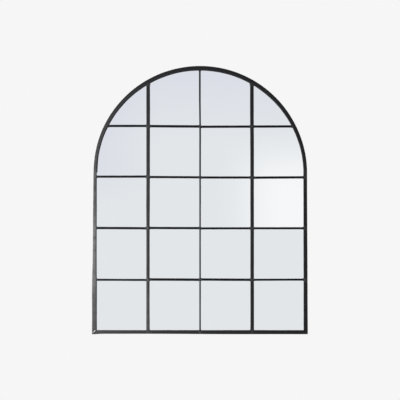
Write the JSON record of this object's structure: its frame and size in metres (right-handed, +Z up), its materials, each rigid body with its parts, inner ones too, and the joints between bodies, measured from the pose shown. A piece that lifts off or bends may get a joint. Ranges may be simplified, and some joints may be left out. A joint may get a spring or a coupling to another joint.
{
  "type": "arched window mirror",
  "caption": "Wall mirror shaped like an arched window: thin black steel frame with upright and cross bars over separate mirror panes, a back board and swinging hanging rings.",
  "frame": {"origin": "on the wall plane, midway between the two hooks that carry the mirror by its rings", "axes": "+Z up, +X to the right as seen from the room, -Y out of the wall into the room; the glass faces -Y"},
  "size_m": [0.807, 0.025, 1.0049],
  "materials": {
    "frame_paint": "satin black, brushed on by hand",
    "bar_paint": "satin black, brushed on by hand",
    "mirror_glass": "float glass, silvered behind",
    "black_tape": "closed-cell foam glazing tape",
    "hardboard": "smooth hardboard",
    "zinc_steel": "zinc plated",
    "nickel_wire": "nickel plated"
  },
  "bodies": {
    "mirror": {"frame_arch": "frame_paint", "frame_left_jamb": "frame_paint", "frame_right_jamb": "frame_paint", "frame_bottom_rail": "frame_paint", "mullion_left": "bar_paint", "mullion_right": "bar_paint", "mullion_centre": "bar_paint", "crossbar_row1_col1": "bar_paint", "crossbar_row1_col2": "bar_paint", "crossbar_row1_col3": "bar_paint", "crossbar_row1_col4": "bar_paint", "crossbar_row2_col1": "bar_paint", "crossbar_row2_col2": "bar_paint", "crossbar_row2_col3": "bar_paint", "crossbar_row2_col4": "bar_paint", "crossbar_row3_col1": "bar_paint", "crossbar_row3_col2": "bar_paint", "crossbar_row3_col3": "bar_paint", "crossbar_row3_col4": "bar_paint", "crossbar_row4_col1": "bar_paint", "crossbar_row4_col2": "bar_paint", "crossbar_row4_col3": "bar_paint", "crossbar_row4_col4": "bar_paint", "pane_row1_col1": "mirror_glass", "pane_row1_col2": "mirror_glass", "pane_row1_col3": "mirror_glass", "pane_row1_col4": "mirror_glass", "pane_row2_col1": "mirror_glass", "pane_row2_col2": "mirror_glass", "pane_row2_col3": "mirror_glass", "pane_row2_col4": "mirror_glass", "pane_row3_col1": "mirror_glass", "pane_row3_col2": "mirror_glass", "pane_row3_col3": "mirror_glass", "pane_row3_col4": "mirror_glass", "pane_row4_col1": "mirror_glass", "pane_row4_col2": "mirror_glass", "pane_row4_col3": "mirror_glass", "pane_row4_col4": "mirror_glass", "pane_row5_col1": "mirror_glass", "pane_row5_col2": "mirror_glass", "pane_row5_col3": "mirror_glass", "pane_row5_col4": "mirror_glass", "glazing_tapes": "black_tape", "back_board": "hardboard", "board_tabs": "frame_paint", "board_screws": "zinc_steel", "hanger_screws": "zinc_steel", "hanger_strap_left": "zinc_steel", "hanger_strap_right": "zinc_steel"},
    "ring_left": {"hanger_ring_left": "nickel_wire"},
    "ring_right": {"hanger_ring_right": "nickel_wire"}
  },
  "joints": [
    {"name": "ring_left_swing", "type": "hinge", "parent": "mirror", "child": "ring_left", "pos_m": [-0.195, -0.0107, -0.016], "axis": [1, 0, 0], "range_deg": [0, 180]},
    {"name": "ring_right_swing", "type": "hinge", "parent": "mirror", "child": "ring_right", "pos_m": [0.195, -0.0107, -0.016], "axis": [1, 0, 0], "range_deg": [0, 180]}
  ]
}
